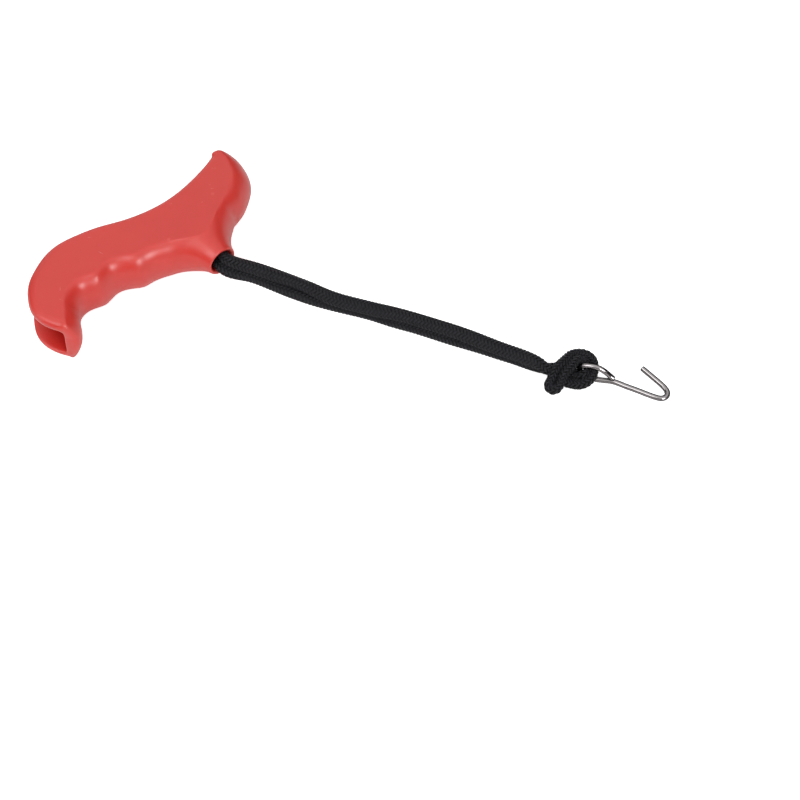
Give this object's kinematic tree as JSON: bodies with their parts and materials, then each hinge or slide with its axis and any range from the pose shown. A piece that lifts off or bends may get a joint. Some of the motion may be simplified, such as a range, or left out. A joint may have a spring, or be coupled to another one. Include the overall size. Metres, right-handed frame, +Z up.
{
  "type": "corded hook puller",
  "caption": "Moulded palm handle with an open-backed grip and finger scallops, a doubled braided cord from its spout, and a knotted-on bent wire hook for pulling.",
  "frame": {"origin": "on the flat cheek the handle rests on, on the pull axis of the cord spout", "axes": "+X along the spout from palm to hook, +Y towards the nose of the grip, +Z up out of the flat cheek"},
  "size_m": [0.2276, 0.1795, 0.023],
  "materials": {
    "handle_plastic": "semi-gloss moulded red",
    "black_cord": "braided, dull black",
    "bright_wire": "bright nickel-plated steel wire"
  },
  "bodies": {
    "handle": {"handle": "handle_plastic"},
    "cord_root": {"stopper_knot": "black_cord", "cord_in_spout": "black_cord"},
    "cord_length_1": {"cord_length_1": "black_cord"},
    "cord_length_2": {"cord_length_2": "black_cord"},
    "cord_length_3": {"cord_length_3": "black_cord"},
    "cord_length_4": {"cord_length_4": "black_cord"},
    "cord_length_5": {"cord_length_5": "black_cord"},
    "cord_length_6": {"cord_length_6": "black_cord"},
    "cord_length_7": {"cord_length_7": "black_cord"},
    "hook_knot": {"hook_knot": "black_cord"},
    "wire_hook": {"wire_hook": "bright_wire"}
  },
  "joints": [
    {"name": "cord_slide", "type": "slide", "parent": "handle", "child": "cord_root", "axis": [1, 0, 0], "range_m": [-0.003, 0]},
    {"name": "cord_bend_1", "type": "hinge", "parent": "cord_root", "child": "cord_length_1", "pos_m": [0.02, 0, 0.0115], "axis": [0, 0, 1], "range_deg": [-45, 35]},
    {"name": "cord_bend_2", "type": "hinge", "parent": "cord_length_1", "child": "cord_length_2", "pos_m": [0.03235, 0.00588, 0.01092], "axis": [-0.5306, 0.8476, 0], "range_deg": [-45, 45]},
    {"name": "cord_bend_3", "type": "hinge", "parent": "cord_length_2", "child": "cord_length_3", "pos_m": [0.05013, 0.01476, 0.0087], "axis": [-0.1159, -0.0586, -0.9915], "range_deg": [-45, 45]},
    {"name": "cord_bend_4", "type": "hinge", "parent": "cord_length_3", "child": "cord_length_4", "pos_m": [0.06929, 0.0252, 0.00599], "axis": [0.5291, -0.8486, 0], "range_deg": [-45, 45]},
    {"name": "cord_bend_5", "type": "hinge", "parent": "cord_length_4", "child": "cord_length_5", "pos_m": [0.0881, 0.03653, 0.00502], "axis": [0.007, 0.0038, 1], "range_deg": [-45, 45]},
    {"name": "cord_bend_6", "type": "hinge", "parent": "cord_length_5", "child": "cord_length_6", "pos_m": [0.10767, 0.04658, 0.0049], "axis": [-0.4387, 0.8986, 0], "range_deg": [-45, 45]},
    {"name": "cord_bend_7", "type": "hinge", "parent": "cord_length_6", "child": "cord_length_7", "pos_m": [0.12946, 0.05663, 0.0049], "axis": [0.0001, 0, -1], "range_deg": [-45, 45]},
    {"name": "cord_bend_8", "type": "hinge", "parent": "cord_length_7", "child": "hook_knot", "pos_m": [0.15088, 0.06552, 0.0049], "axis": [0.314, -0.9494, 0], "range_deg": [-45, 45]},
    {"name": "hook_swing", "type": "hinge", "parent": "hook_knot", "child": "wire_hook", "pos_m": [0.16718, 0.08014, 0.005], "axis": [0.6491, -0.7391, 0.18], "range_deg": [-45, 60]}
  ]
}
